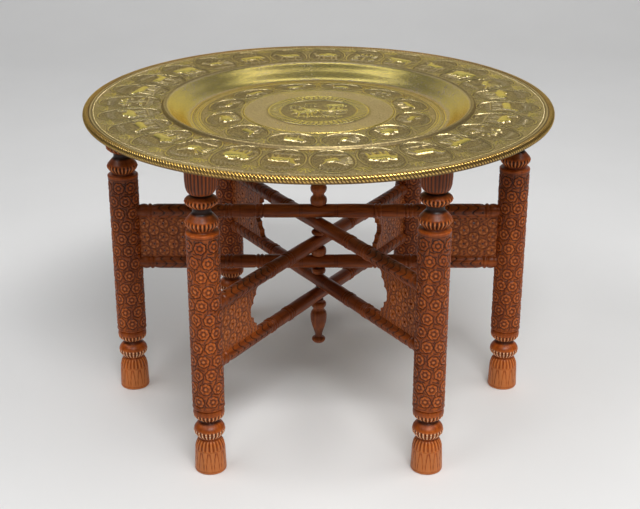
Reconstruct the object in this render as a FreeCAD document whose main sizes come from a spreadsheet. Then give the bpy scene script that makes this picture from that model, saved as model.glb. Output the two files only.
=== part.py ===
import FreeCAD, Part

# Low tray table: a round embossed brass tray that lies on a folding stand of turned and carved wood.
#
# The stand is three crossing frames. Each frame is two legs, an upper and a lower rail and two thin
# pierced panels. An iron rod passes down through the middle of all six rails, and the second and third
# frames turn on it, so the six legs fold together. The tray lies loose on the six leg tops.
#
# Origin: the point on the floor below the middle of the tray. +Z is up. The first frame lies along X.
# Millimetres and degrees.

import math
import os

import Sketcher

Vector = FreeCAD.Vector
Rotation = FreeCAD.Rotation
Placement = FreeCAD.Placement

# Driving dimensions: the sheet's alias, its value, what it is.
DIMENSIONS = [
    ("tray_radius", 300, "outside of the tray's rolled edge"),
    ("flange_height", 409.5, "floor to the tray's flat flange, upper side"),
    ("sheet_thick", 1.2, "brass sheet"),
    ("roll_radius", 4, "outside of the rolled edge's section"),
    ("wire_gap", 0.1, "between the edge wire and the roll round it"),
    ("groove_width", 3, "plain groove inside the rolled edge"),
    ("groove_depth", 0.8, "how far that groove is pressed down"),
    ("lip_radius", 200, "middle of the raised lip round the well"),
    ("lip_width", 3.5, "half width of the lip's foot"),
    ("lip_rise", 3.9, "lip above the flange"),
    ("well_radius", 167, "foot of the well's sloping wall"),
    ("well_depth", 17.5, "flange down to the foot of the wall"),
    ("floor_rise", 5.4, "foot of the wall up to the flat ring in the middle"),
    ("ring_radius", 98, "outside of the flat ring"),
    ("rest_gap", 0.2, "between a leg's top and the tray"),
    ("leg_circle", 257.6, "stand's axis to a leg's axis"),
    ("opening_angle", 58.5, "first frame to each of the others when the stand is open"),
    ("shaft_radius", 20, "carved shaft of a leg"),
    ("shaft_bottom", 87.3, "floor to the shaft's lower end"),
    ("capital_short", 87, "shaft's upper end to the leg's top, legs on the right"),
    ("capital_middle", 90, "shaft's upper end to the leg's top, front leg on the left"),
    ("capital_tall", 96, "shaft's upper end to the leg's top, other legs on the left"),
    ("cup_foot", 45, "shaft's upper end to the foot of the cup"),
    ("cup_radius", 19.3, "cup at the leg's top"),
    ("neck_radius", 10.8, "necks between the turned beads"),
    ("bead_radius", 20.3, "widest part of the turned beads"),
    ("bead_edge", 1.4, "how far a bead has drawn in where its slopes begin"),
    ("bead_below", 8, "a bead's middle down to its foot"),
    ("bead_one_rise", 10.5, "shaft's upper end to the first bead's middle"),
    ("bead_one_above", 13, "the first bead's middle up to its neck"),
    ("bead_two_rise", 37, "shaft's upper end to the second bead's middle"),
    ("bead_two_above", 8, "the second bead's middle up to the cup"),
    ("collar_radius", 19.4, "collar under the shaft"),
    ("collar_height", 17, "shaft's lower end down to the collar's foot"),
    ("low_bead_radius", 19.7, "widest part of the bead on the foot"),
    ("low_bead_drop", 31.3, "shaft's lower end down to the low bead's middle"),
    ("low_bead_below", 10, "the low bead's middle down to the ankle"),
    ("low_bead_above", 11.5, "the low bead's middle up to its neck"),
    ("foot_radius", 19.8, "foot on the floor"),
    ("foot_height", 43.5, "floor to the top of the foot's shoulder"),
    ("foot_shoulder", 18.2, "foot's radius where its shoulder begins"),
    ("foot_chamfer", 1.2, "worn edge of the foot"),
    ("ankle_radius", 13, "neck on top of the foot"),
    ("rail_radius", 9, "turned rail"),
    ("ring_proud", 1, "rings turned on a rail above its surface"),
    ("ring_section", 3, "radius of a ring's rounded section"),
    ("inner_ring", 78.5, "middle of a rail to its inner ring"),
    ("outer_ring", 120, "middle of a rail to its outer ring"),
    ("tenon_radius", 6.5, "round tenon on a rail's end"),
    ("tenon_gap", 1, "tenon's end short of the leg's axis"),
    ("upper_cross_gap", 0.3, "between the upper rails that cross on each other"),
    ("lower_cross_gap", 2.4, "between the lower rails that cross on each other"),
    ("spacer_gap", 0.3, "between a spacer and the rail above or below it"),
    ("upper_space", 6.5, "between the third and the second frame's upper rails"),
    ("middle_space", 12, "between the upper and the lower set of rails"),
    ("lower_space", 8.6, "between the first and the third frame's lower rails"),
    ("upper_spacer_radius", 9.6, "turned spacers on the rod"),
    ("middle_spacer_radius", 10.6, "turned spacers on the rod"),
    ("lower_spacer_radius", 9.6, "turned spacers on the rod"),
    ("rod_radius", 4, "pivot rod"),
    ("rod_gap", 0.05, "rod in the rails that turn on it, all round"),
    ("nut_radius", 6.5, "round nut on each end of the rod"),
    ("nut_height", 5, "nut along the rod"),
    ("finial_radius", 11.2, "widest part of both finials"),
    ("finial_neck", 5, "thinnest part of both finials"),
    ("top_finial_height", 30.5, "height of the upper finial"),
    ("bottom_finial_height", 66, "length of the lower finial"),
    ("knob_radius", 9.3, "knob on the lower finial's tip"),
    ("panel_thick", 8, "pierced panel"),
    ("panel_let_in", 4, "how deep a panel is let into the rails and the leg"),
    ("panel_inner", 149, "stand's axis to a panel's inner edge at the rails"),
    ("panel_apex", 168, "stand's axis to the point of the cusped arch in that edge"),
    ("hole_radius", 1.5, "hole in a panel"),
    ("hole_pitch", 12.7, "one column of holes to the next"),
    ("hole_edge", 5.6, "leg to the nearest column of holes"),
    ("hole_row", 19.5, "one hole to the next in a column"),
]

FOILS = 3  # foils on each side of the cusped arch's point
HOLE_COLUMNS = 5

document = FreeCAD.newDocument("tray_table")
sheet = document.addObject("Spreadsheet::Sheet", "Sizes")
nodes = []


class Size:
    """A length or angle as a formula over the sheet, with the value that it has now."""

    def __init__(self, text, value):
        self.text = text
        self.value = value

    def __add__(self, other):
        other = as_size(other)
        return Size(f"({self.text} + {other.text})", self.value + other.value)

    def __sub__(self, other):
        other = as_size(other)
        return Size(f"({self.text} - {other.text})", self.value - other.value)

    def __mul__(self, other):
        other = as_size(other)
        return Size(f"({self.text} * {other.text})", self.value * other.value)

    def __truediv__(self, other):
        other = as_size(other)
        return Size(f"({self.text} / {other.text})", self.value / other.value)

    def __neg__(self):
        return Size(f"(0 - {self.text})", -self.value)


def as_size(number):
    """A plain number as a Size, and a Size as it is."""
    return number if isinstance(number, Size) else Size(str(float(number)), float(number))


def root(size):
    """Square root of a Size."""
    return Size(f"sqrt({size.text})", math.sqrt(size.value))


def cosine(angle):
    """Cosine of a Size in degrees."""
    return Size(f"cos({angle.text} * 1 deg)", math.cos(math.radians(angle.value)))


def sine(angle):
    """Sine of a Size in degrees."""
    return Size(f"sin({angle.text} * 1 deg)", math.sin(math.radians(angle.value)))


def fill_sheet():
    """Write the driving dimensions into the sheet and return them by name."""
    for row, (alias, value, meaning) in enumerate(DIMENSIONS, start=1):
        sheet.set(f"A{row}", meaning)
        sheet.set(f"B{row}", str(value))
        sheet.setAlias(f"B{row}", alias)
    document.recompute()
    return {alias: Size(f"Sizes.{alias}", float(sheet.get(alias))) for alias, _, _ in DIMENSIONS}


dim = fill_sheet()


# ---------------------------------------------------------------------------------------------
# Places worked out from the driving dimensions
# ---------------------------------------------------------------------------------------------

leg_top = dim["flange_height"] - dim["sheet_thick"] - dim["rest_gap"]
shaft_tops = {name: leg_top - dim[f"capital_{name}"] for name in ("short", "middle", "tall")}
rail_diameter = dim["rail_radius"] * 2

# The stack of rails, from its top down, has its middle half way up the lower of the two shafts.
stack_height = (rail_diameter * 6 + dim["upper_cross_gap"] + dim["lower_cross_gap"] + dim["upper_space"]
                + dim["middle_space"] + dim["lower_space"])
stack_middle = (dim["shaft_bottom"] + shaft_tops["tall"]) / 2
stack_top = stack_middle + stack_height / 2
upper_one = stack_top - dim["rail_radius"]
upper_three = upper_one - rail_diameter - dim["upper_cross_gap"]
upper_two = upper_three - rail_diameter - dim["upper_space"]
lower_one = upper_two - rail_diameter - dim["middle_space"]
lower_three = lower_one - rail_diameter - dim["lower_space"]
lower_two = lower_three - rail_diameter - dim["lower_cross_gap"]
stack_bottom = lower_two - dim["rail_radius"]

# Frame: its name, its angle, its upper and lower rail, its two legs with their capitals, and how
# loosely its rails sit on the rod. The first leg is on the frame's own +X side.
NO_ANGLE = as_size(0)
NO_GAP = as_size(0)
FRAMES = [
    ("one", NO_ANGLE, upper_one, lower_one, {"right": "short", "left": "tall"}, NO_GAP),
    ("two", dim["opening_angle"], upper_two, lower_two, {"back_right": "short", "front_left": "middle"},
     dim["rod_gap"]),
    ("three", -dim["opening_angle"], upper_three, lower_three,
     {"front_right": "short", "back_left": "tall"}, dim["rod_gap"]),
]


# ---------------------------------------------------------------------------------------------
# Sketches and features
# ---------------------------------------------------------------------------------------------

def new_body(label):
    """An empty body that becomes the node of that name."""
    body = document.addObject("PartDesign::Body", label)
    body.Label = label
    nodes.append(body)
    return body


def new_sketch(body, name, role, offset=None):
    """A sketch on one of the body's own origin planes, or offset from it along its normal."""
    sketch = body.newObject("Sketcher::SketchObject", f"{body.Name}_{name}")
    planes = [plane for plane in body.Origin.OriginFeatures if plane.Role == role]
    sketch.AttachmentSupport = (planes[0], [""])
    sketch.MapMode = "FlatFace"
    if offset is not None:
        sketch.AttachmentOffset = Placement(Vector(0, 0, offset.value), Rotation())
        sketch.setExpression("AttachmentOffset.Base.z", offset.text)
    return sketch


def hold(sketch, kind, places, size):
    """Add a dimension to the sketch and bind it to the sheet."""
    number = sketch.addConstraint(Sketcher.Constraint(kind, *places, size.value))
    sketch.setExpression(f"Constraints[{number}]", size.text)


def hold_point(sketch, geometry, point, x, y):
    """Hold one point of a sketch at x, y from the sketch's origin."""
    hold(sketch, "DistanceX", (-1, 1, geometry, point), as_size(x))
    hold(sketch, "DistanceY", (-1, 1, geometry, point), as_size(y))


def add_circle(sketch, x, y, radius):
    """A full circle."""
    x, y = as_size(x), as_size(y)
    circle = Part.Circle(Vector(x.value, y.value, 0), Vector(0, 0, 1), radius.value)
    number = sketch.addGeometry(circle, False)
    hold_point(sketch, number, 3, x, y)
    hold(sketch, "Radius", (number,), radius)


def arc_between(start, end, radius):
    """The short arc that leaves start to its right and comes to end, anticlockwise about its middle."""
    chord = end - start
    middle = (start + end) * 0.5
    inward = Vector(-chord.y, chord.x, 0).normalize()
    reach = math.sqrt(radius ** 2 - (chord.Length / 2) ** 2)
    centre = middle + inward * reach
    angles = [math.atan2(point.y - centre.y, point.x - centre.x) for point in (start, end)]
    return Part.ArcOfCircle(Part.Circle(centre, Vector(0, 0, 1), radius), *angles)


def add_outline(sketch, corners):
    """A closed outline. A corner is (x, y), or (x, y, radius) where an arc leaves it, and the corners
    go round so that every arc runs anticlockwise about its own middle."""
    corners = [tuple(as_size(part) for part in corner) for corner in corners]
    spots = [Vector(corner[0].value, corner[1].value, 0) for corner in corners]
    numbers = []
    for index, corner in enumerate(corners):
        start, end = spots[index], spots[(index + 1) % len(spots)]
        if len(corner) == 3:
            numbers.append(sketch.addGeometry(arc_between(start, end, corner[2].value), False))
        else:
            numbers.append(sketch.addGeometry(Part.LineSegment(start, end), False))
    for index, corner in enumerate(corners):
        sketch.addConstraint(Sketcher.Constraint("Coincident", numbers[index - 1], 2, numbers[index], 1))
        hold_point(sketch, numbers[index], 1, corner[0], corner[1])
        if len(corner) == 3:
            hold(sketch, "Radius", (numbers[index],), corner[2])


def add_rectangle(sketch, left, bottom, right, top):
    """A rectangle between two corners."""
    add_outline(sketch, [(left, bottom), (right, bottom), (right, top), (left, top)])


def turn(body, sketch, axis):
    """Turn a sketch's outline right round one of the sketch's own axes."""
    feature = body.newObject("PartDesign::Revolution", f"{sketch.Name}_turned")
    feature.Profile = sketch
    feature.ReferenceAxis = (sketch, [axis])
    feature.Angle = 360
    sketch.Visibility = False
    document.recompute()
    return feature


def pad_both_ways(body, sketch, length):
    """Pad a sketch to both sides of its plane, length in all."""
    feature = body.newObject("PartDesign::Pad", f"{sketch.Name}_pad")
    feature.Profile = sketch
    feature.SideType = "Symmetric"
    feature.setExpression("Length", length.text)
    document.recompute()
    return feature


def cut(body, sketch, length=None, reverse=False):
    """Cut a sketch out of the body: right through both ways, or length along its plane's normal."""
    before = body.Shape.Volume
    feature = body.newObject("PartDesign::Pocket", f"{sketch.Name}_cut")
    feature.Profile = sketch
    if length is None:
        feature.SideType = "Symmetric"
        feature.Type = "ThroughAll"
    else:
        feature.Type = "Length"
        feature.setExpression("Length", length.text)
        feature.Reversed = reverse
    document.recompute()
    if body.Shape.Volume >= before - 1e-3:
        raise RuntimeError(f"{feature.Name} cuts nothing from {body.Label}")
    return feature


def set_around(body, angle, out=None, up=None):
    """Place a body at an angle about the stand's axis, out from the axis and up from the floor."""
    turned = Rotation(Vector(0, 0, 1), angle.value)
    out = as_size(0) if out is None else out
    up = as_size(0) if up is None else up
    body.Placement = Placement(turned.multVec(Vector(out.value, 0, up.value)), turned)
    body.setExpression("Placement.Rotation.Angle", f"{angle.text} * 1 deg")
    body.setExpression("Placement.Base.x", (out * cosine(angle)).text)
    body.setExpression("Placement.Base.y", (out * sine(angle)).text)
    body.setExpression("Placement.Base.z", up.text)


# ---------------------------------------------------------------------------------------------
# Tray
# ---------------------------------------------------------------------------------------------

roll_centre = dim["tray_radius"] - dim["roll_radius"]
roll_height = dim["flange_height"] - dim["roll_radius"]
ring_height = dim["flange_height"] - dim["well_depth"] + dim["floor_rise"]
LIP_INSIDE = 2.6  # the lip's inner side is this much lower than its top, where the wall starts
LIP_CROWN = 1.2  # half width of the lip's rounded top


def sheet_side():
    """The upper side of the tray's sheet from its middle to its rolled edge."""
    flange = dim["flange_height"]
    lip = dim["lip_radius"]
    groove_outer = roll_centre - dim["roll_radius"] / 2
    groove_inner = groove_outer - dim["groove_width"]
    groove_floor = flange - dim["groove_depth"]
    return [
        (as_size(0), ring_height),
        (dim["ring_radius"], ring_height),
        (dim["well_radius"], flange - dim["well_depth"]),
        (lip - dim["lip_width"], flange + dim["lip_rise"] - LIP_INSIDE),
        (lip - LIP_CROWN, flange + dim["lip_rise"]),
        (lip + LIP_CROWN, flange + dim["lip_rise"]),
        (lip + dim["lip_width"], flange),
        (groove_inner, flange),
        (groove_inner + dim["groove_width"] / 3, groove_floor),
        (groove_outer, groove_floor),
        (roll_centre - dim["roll_radius"] * 0.3, flange - dim["roll_radius"] * 0.05),
    ]


def make_tray_sheet():
    """The brass sheet, dished in the middle, with its edge rolled into a tube round the wire."""
    body = new_body("tray_sheet")
    above = sheet_side()
    below = [(x, y - dim["sheet_thick"]) for x, y in above]
    sheet_sketch = new_sketch(body, "dish", "XZ_Plane")
    add_outline(sheet_sketch, below + above[::-1])
    turn(body, sheet_sketch, "V_Axis")
    roll_sketch = new_sketch(body, "roll", "XZ_Plane")
    add_circle(roll_sketch, roll_centre, roll_height, dim["roll_radius"])
    add_circle(roll_sketch, roll_centre, roll_height, dim["roll_radius"] - dim["sheet_thick"])
    turn(body, roll_sketch, "V_Axis")


def make_rim_wire():
    """The iron wire inside the rolled edge."""
    wire = document.addObject("Part::Torus", "rim_wire")
    wire.Label = "rim_wire"
    wire.setExpression("Radius1", roll_centre.text)
    wire.setExpression("Radius2", (dim["roll_radius"] - dim["sheet_thick"] - dim["wire_gap"]).text)
    wire.Placement = Placement(Vector(0, 0, roll_height.value), Rotation())
    wire.setExpression("Placement.Base.z", roll_height.text)
    nodes.append(wire)


# ---------------------------------------------------------------------------------------------
# Frames
# ---------------------------------------------------------------------------------------------

def bead_side(middle, widest, below, above, foot):
    """One side of a turned bead: a short slope below its widest line and another above it."""
    shoulder = widest - dim["bead_edge"]
    return [
        (foot, middle - below),
        (shoulder, middle - below * 0.35),
        (widest, middle),
        (shoulder, middle + above * 0.35),
        (dim["neck_radius"], middle + above),
    ]


def leg_outline(shaft_top):
    """Half section of a leg, from the middle of its foot to the middle of its top."""
    neck = dim["neck_radius"]
    foot = dim["foot_radius"]
    ankle = dim["ankle_radius"]
    shaft_bottom = dim["shaft_bottom"]
    collar_foot = shaft_bottom - dim["collar_height"]
    cup_foot = shaft_top + dim["cup_foot"]
    cup_height = leg_top - cup_foot
    return [
        (0, 0),
        (foot - dim["foot_chamfer"], 0),
        (foot, dim["foot_chamfer"]),
        (foot, dim["foot_height"] * 0.1),
        (foot - 0.8, dim["foot_height"] * 0.45),
        (dim["foot_shoulder"], dim["foot_height"] * 0.8),
        (ankle, dim["foot_height"]),
        *bead_side(shaft_bottom - dim["low_bead_drop"], dim["low_bead_radius"],
                   dim["low_bead_below"], dim["low_bead_above"], ankle),
        (neck, collar_foot),
        (dim["collar_radius"] - 2, collar_foot + dim["collar_height"] * 0.24),
        (dim["collar_radius"], collar_foot + dim["collar_height"] * 0.42),
        (dim["collar_radius"], collar_foot + dim["collar_height"] * 0.76),
        (dim["collar_radius"] - 1.7, shaft_bottom),
        (dim["shaft_radius"], shaft_bottom),
        (dim["shaft_radius"], shaft_top),
        (neck, shaft_top),
        *bead_side(shaft_top + dim["bead_one_rise"], dim["bead_radius"], dim["bead_below"],
                   dim["bead_one_above"], neck),
        *bead_side(shaft_top + dim["bead_two_rise"], dim["bead_radius"], dim["bead_below"],
                   dim["bead_two_above"], neck),
        (dim["cup_radius"] * 0.86, cup_foot + cup_height * 0.1),
        (dim["cup_radius"] * 0.96, cup_foot + cup_height * 0.3),
        (dim["cup_radius"], leg_top),
        (0, leg_top),
    ]


def make_leg(name, capital, angle, upper, lower):
    """A turned leg with mortises for two rails and a groove for a panel on its inner side."""
    body = new_body(f"leg_{name}")
    shaft_top = shaft_tops[capital]
    core = new_sketch(body, "core", "XZ_Plane")
    add_outline(core, leg_outline(shaft_top))
    turn(body, core, "V_Axis")

    mortises = new_sketch(body, "mortises", "YZ_Plane")
    for height in (upper, lower):
        add_circle(mortises, 0, height, dim["tenon_radius"])
    cut(body, mortises, dim["shaft_radius"] * 1.2)

    groove = new_sketch(body, "groove", "XY_Plane", lower)
    half = dim["panel_thick"] / 2
    add_rectangle(groove, -dim["shaft_radius"] * 1.2, -half,
                  dim["panel_let_in"] - dim["shaft_radius"], half)
    cut(body, groove, upper - lower, reverse=True)
    set_around(body, angle, out=dim["leg_circle"])


def make_rail(name, angle, height, groove_side, rod_gap):
    """A turned rail: a round bar coped to the legs, with tenons, rings, and the rod's hole."""
    body = new_body(name)
    bar = new_sketch(body, "bar", "XZ_Plane")
    add_rectangle(bar, -dim["leg_circle"], 0, dim["leg_circle"], dim["rail_radius"])
    turn(body, bar, "H_Axis")

    rings = new_sketch(body, "rings", "XZ_Plane")
    ring_middle = dim["rail_radius"] + dim["ring_proud"] - dim["ring_section"]
    for place in (dim["inner_ring"], dim["outer_ring"]):
        for side in (1, -1):
            add_circle(rings, place * side, ring_middle, dim["ring_section"])
    turn(body, rings, "H_Axis")

    cope = new_sketch(body, "cope", "XY_Plane")
    for side in (1, -1):
        add_circle(cope, dim["leg_circle"] * side, 0, dim["shaft_radius"])
    cut(body, cope)

    tenons = new_sketch(body, "tenons", "XZ_Plane")
    tenon_end = dim["leg_circle"] - dim["tenon_gap"]
    tenon_root = dim["leg_circle"] - dim["shaft_radius"] - dim["tenon_radius"]
    add_rectangle(tenons, tenon_root, 0, tenon_end, dim["tenon_radius"])
    add_rectangle(tenons, -tenon_end, 0, -tenon_root, dim["tenon_radius"])
    turn(body, tenons, "H_Axis")

    bore = new_sketch(body, "bore", "XY_Plane")
    add_circle(bore, 0, 0, dim["rod_radius"] + rod_gap)
    cut(body, bore)

    depth = dim["rail_radius"] - dim["panel_let_in"]
    grooves = new_sketch(body, "grooves", "XY_Plane", depth * groove_side)
    half = dim["panel_thick"] / 2
    groove_end = dim["leg_circle"] - dim["shaft_radius"] + dim["panel_let_in"]
    add_rectangle(grooves, dim["panel_inner"], -half, groove_end, half)
    add_rectangle(grooves, -groove_end, -half, -dim["panel_inner"], half)
    cut(body, grooves, dim["rail_radius"] * 2, reverse=groove_side > 0)
    set_around(body, angle, up=height)


def foil_corners(upper, lower):
    """The cusped arch in a panel's inner edge, from the lower rail out to its point and back in."""
    middle = (upper + lower) / 2
    half = (upper - lower) / 2 - dim["rail_radius"]
    reach = dim["panel_apex"] - dim["panel_inner"]
    chord = root(reach * reach + half * half) / FOILS
    foil_radius = chord * 0.62
    corners = []
    for step in range(-FOILS, FOILS + 1):
        inward = abs(step) / FOILS
        corners.append((dim["panel_apex"] - reach * inward, middle + half * (step / FOILS), foil_radius))
    corners[-1] = corners[-1][:2]
    return corners


def make_panel(name, angle, upper, lower):
    """A thin pierced board between two rails, let into both and into the leg."""
    body = new_body(f"panel_{name}")
    let_in = dim["rail_radius"] - dim["panel_let_in"]
    outer = dim["leg_circle"] - dim["shaft_radius"] + dim["panel_let_in"]
    board = new_sketch(body, "board", "XZ_Plane")
    edge = foil_corners(upper, lower)
    corners = [(dim["panel_inner"], lower + let_in)] + edge
    corners += [(dim["panel_inner"], upper - let_in), (outer, upper - let_in), (outer, lower + let_in)]
    add_outline(board, corners)
    pad_both_ways(body, board, dim["panel_thick"])

    holes = new_sketch(body, "holes", "XZ_Plane")
    middle = (upper + lower) / 2
    for column in range(HOLE_COLUMNS):
        place = dim["leg_circle"] - dim["shaft_radius"] - dim["hole_edge"] - dim["hole_pitch"] * column
        rows = (-0.5, 0.5) if column % 2 else (-1, 0, 1)
        for row in rows:
            add_circle(holes, place, middle + dim["hole_row"] * row, dim["hole_radius"])
    cut(body, holes)
    set_around(body, angle)


def make_frame(name, angle, upper, lower, legs, rod_gap):
    """Two legs, two rails and two panels at one angle about the stand's axis."""
    facing = angle + 180
    for (leg, capital), side in zip(legs.items(), (angle, facing)):
        make_leg(leg, capital, side, upper, lower)
        make_panel(leg, side, upper, lower)
    make_rail(f"upper_rail_{name}", angle, upper, -1, rod_gap)
    make_rail(f"lower_rail_{name}", angle, lower, 1, rod_gap)


# ---------------------------------------------------------------------------------------------
# Spindle
# ---------------------------------------------------------------------------------------------

def make_spacer(name, radius, top, bottom):
    """A turned bead on the rod between two rails."""
    body = new_body(name)
    high = top - dim["spacer_gap"]
    low = bottom + dim["spacer_gap"]
    waist = radius * 0.8
    quarter = (high - low) / 4
    section = new_sketch(body, "section", "XZ_Plane")
    add_outline(section, [
        (dim["rod_radius"], low),
        (waist, low),
        (radius, low + quarter),
        (radius, high - quarter),
        (waist, high),
        (dim["rod_radius"], high),
    ])
    turn(body, section, "V_Axis")


pendant_top = stack_bottom - dim["spacer_gap"]
rod_top = stack_top + dim["top_finial_height"] * 0.8
rod_bottom = pendant_top - dim["bottom_finial_height"] * 0.4


def make_top_finial():
    """The knob above the rails: a ring, a cove and a round bulb, bored for the rod and its nut."""
    body = new_body("top_finial")
    height = dim["top_finial_height"]
    widest = dim["finial_radius"]
    section = new_sketch(body, "section", "XZ_Plane")
    add_outline(section, [
        (dim["rod_radius"], stack_top),
        (widest * 0.8, stack_top),
        (widest, stack_top + height * 0.12),
        (widest, stack_top + height * 0.34),
        (widest * 0.7, stack_top + height * 0.5),
        (widest, stack_top + height * 0.66),
        (widest, stack_top + height * 0.82),
        (widest * 0.5, stack_top + height),
        (0, stack_top + height),
        (0, rod_top),
        (dim["nut_radius"], rod_top),
        (dim["nut_radius"], rod_top - dim["nut_height"]),
        (dim["rod_radius"], rod_top - dim["nut_height"]),
    ])
    turn(body, section, "V_Axis")


def make_bottom_finial():
    """The pendant below the rails: a ring, a vase and a knob, bored for the rod and its nut."""
    body = new_body("bottom_finial")
    drop = dim["bottom_finial_height"]
    widest = dim["finial_radius"]
    neck = dim["finial_neck"]
    section = new_sketch(body, "section", "XZ_Plane")
    add_outline(section, [
        (dim["rod_radius"], rod_bottom + dim["nut_height"]),
        (dim["nut_radius"], rod_bottom + dim["nut_height"]),
        (dim["nut_radius"], rod_bottom),
        (0, rod_bottom),
        (0, pendant_top - drop),
        (dim["knob_radius"] * 0.5, pendant_top - drop),
        (dim["knob_radius"], pendant_top - drop * 0.93),
        (dim["knob_radius"], pendant_top - drop * 0.89),
        (neck, pendant_top - drop * 0.83),
        (neck, pendant_top - drop * 0.78),
        (widest * 0.8, pendant_top - drop * 0.62),
        (widest, pendant_top - drop * 0.42),
        (widest, pendant_top - drop * 0.34),
        (widest * 0.82, pendant_top - drop * 0.26),
        (widest * 0.76, pendant_top - drop * 0.2),
        (widest * 0.94, pendant_top - drop * 0.14),
        (widest * 0.94, pendant_top - drop * 0.08),
        (widest * 0.6, pendant_top),
        (dim["rod_radius"], pendant_top),
    ])
    turn(body, section, "V_Axis")


def make_pivot_rod():
    """The iron rod that all six rails are threaded on."""
    rod = document.addObject("Part::Cylinder", "pivot_rod")
    rod.Label = "pivot_rod"
    rod.setExpression("Radius", dim["rod_radius"].text)
    rod.setExpression("Height", (rod_top - rod_bottom).text)
    rod.Placement = Placement(Vector(0, 0, rod_bottom.value), Rotation())
    rod.setExpression("Placement.Base.z", rod_bottom.text)
    nodes.append(rod)


def make_rod_nuts():
    """A round nut on each end of the rod, inside the finials."""
    body = new_body("rod_nuts")
    section = new_sketch(body, "section", "XZ_Plane")
    add_rectangle(section, dim["rod_radius"], rod_top - dim["nut_height"], dim["nut_radius"], rod_top)
    add_rectangle(section, dim["rod_radius"], rod_bottom, dim["nut_radius"],
                  rod_bottom + dim["nut_height"])
    turn(body, section, "V_Axis")


# ---------------------------------------------------------------------------------------------
# Whole table
# ---------------------------------------------------------------------------------------------

def check_document():
    """Stop if any object failed or any node has no valid shape."""
    for thing in document.Objects:
        if "Invalid" in thing.State or "Error" in thing.State:
            raise RuntimeError(f"{thing.Name} did not compute")
    for node in nodes:
        if node.Shape.isNull() or not node.Shape.isValid():
            raise RuntimeError(f"{node.Label} has no valid shape")


def write_nodes():
    """Write each node to its own file and print what it holds."""
    os.makedirs("parts", exist_ok=True)
    for node in nodes:
        node.Shape.exportStep(f"parts/{node.Label}.step")
        box = node.Shape.BoundBox
        print(f"{node.Label:16s} solids {len(node.Shape.Solids)} volume {node.Shape.Volume:10.1f} "
              f"z {box.ZMin:6.1f} to {box.ZMax:6.1f}")


make_tray_sheet()
make_rim_wire()
for frame in FRAMES:
    make_frame(*frame)
make_spacer("upper_spacer", dim["upper_spacer_radius"],
            upper_three - dim["rail_radius"], upper_two + dim["rail_radius"])
make_spacer("middle_spacer", dim["middle_spacer_radius"],
            upper_two - dim["rail_radius"], lower_one + dim["rail_radius"])
make_spacer("lower_spacer", dim["lower_spacer_radius"],
            lower_one - dim["rail_radius"], lower_three + dim["rail_radius"])
make_top_finial()
make_bottom_finial()
make_pivot_rod()
make_rod_nuts()
document.recompute()
check_document()
write_nodes()
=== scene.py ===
"""Round embossed brass tray on a folding stand of turned and carved wood.

Lengths are metres, as in the frame. Relief and carving are given in millimetres and scaled by MM.
An angle on the tray is measured from the front (-Y) towards +X.
"""
import math

import bpy
import numpy as np
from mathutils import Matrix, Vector
from mathutils.geometry import delaunay_2d_cdt


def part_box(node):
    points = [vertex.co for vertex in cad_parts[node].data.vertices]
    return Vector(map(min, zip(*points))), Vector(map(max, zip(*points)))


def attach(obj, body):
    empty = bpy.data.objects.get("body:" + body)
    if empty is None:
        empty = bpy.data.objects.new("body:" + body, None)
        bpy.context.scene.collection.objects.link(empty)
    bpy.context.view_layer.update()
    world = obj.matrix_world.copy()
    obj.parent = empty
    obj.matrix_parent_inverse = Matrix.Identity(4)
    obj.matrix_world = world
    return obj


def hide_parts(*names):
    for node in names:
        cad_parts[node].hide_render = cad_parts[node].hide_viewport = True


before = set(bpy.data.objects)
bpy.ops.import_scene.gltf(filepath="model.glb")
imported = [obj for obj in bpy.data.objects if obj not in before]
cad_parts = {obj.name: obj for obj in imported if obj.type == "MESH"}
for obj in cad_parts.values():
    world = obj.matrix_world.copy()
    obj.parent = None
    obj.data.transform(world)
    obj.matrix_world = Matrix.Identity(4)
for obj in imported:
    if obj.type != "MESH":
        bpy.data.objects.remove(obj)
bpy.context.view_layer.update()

MM = 0.001
TURN = 2 * math.pi


# ---- Places and sizes taken from the frame ----

def middle_of(node):
    """Centre of a CAD node's box."""
    low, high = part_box(node)
    return (low + high) / 2


TRAY_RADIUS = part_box("tray_sheet")[1].x
LIP_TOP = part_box("tray_sheet")[1].z
LEG_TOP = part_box("leg_right")[1].z
LEGS = {
    "frame_one": ("leg_right", "leg_left"),
    "frame_two": ("leg_back_right", "leg_front_left"),
    "frame_three": ("leg_front_right", "leg_back_left"),
}
RAILS = {f"frame_{number}": (f"upper_rail_{number}", f"lower_rail_{number}")
         for number in ("one", "two", "three")}
# shaft's upper end to the leg's top, in millimetres
SHORT_CAPITAL = 87.0
CAPITALS = {"leg_left": 96.0, "leg_back_left": 96.0, "leg_front_left": 90.0}

# Tray, radii in millimetres
SHEET = 1.2
FLANGE = LIP_TOP / MM - 3.9
WELL_RADIUS = 167.0
WELL_FOOT = FLANGE - 17.5
RING_HEIGHT = FLANGE - 12.1
RING_RADIUS = 97.0
ROLL_RADIUS = 4.0
ROLL_HALF = 4.8
ROLL_RISE = 1.5
ROLL_MIDDLE = TRAY_RADIUS / MM - ROLL_RADIUS
FLANGE_OVALS = 27
FLANGE_PHASE = math.radians(3.76)
FLOOR_OVALS = 12
FLOOR_PHASE = math.radians(15)
FLANGE_START = 200.8
FLANGE_END = 293.2
LIP_ROPE = 197.6
UNDER_TONE = 0.42


# ---- Meshes ----

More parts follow.
